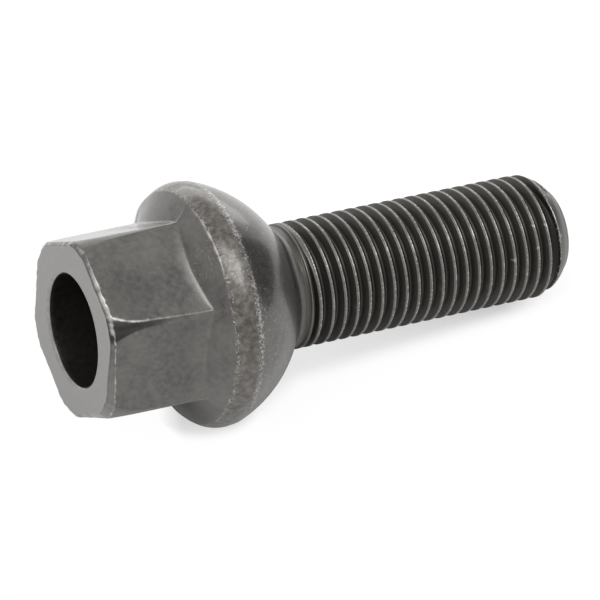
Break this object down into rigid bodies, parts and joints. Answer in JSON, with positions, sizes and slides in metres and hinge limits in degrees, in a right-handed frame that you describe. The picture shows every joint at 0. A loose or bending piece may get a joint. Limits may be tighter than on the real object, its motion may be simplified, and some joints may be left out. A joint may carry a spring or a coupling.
{
  "type": "wheel bolt",
  "caption": "One-piece wheel bolt with a hollow hexagon head, a round flange with a ball seat, and a rolled metric thread that ends in a coned tip.",
  "frame": {"origin": "centre of the head's end face, on which the bolt stands", "axes": "+Z along the bolt's axis towards the tip of the thread, +X towards one corner of the hexagon"},
  "size_m": [0.0268, 0.0268, 0.0581],
  "materials": {
    "phosphated_steel": "dark grey phosphate on forged steel, with bright worn edges and thread crests"
  },
  "bodies": {
    "root": {"wheel_bolt": "phosphated_steel"}
  },
  "joints": []
}
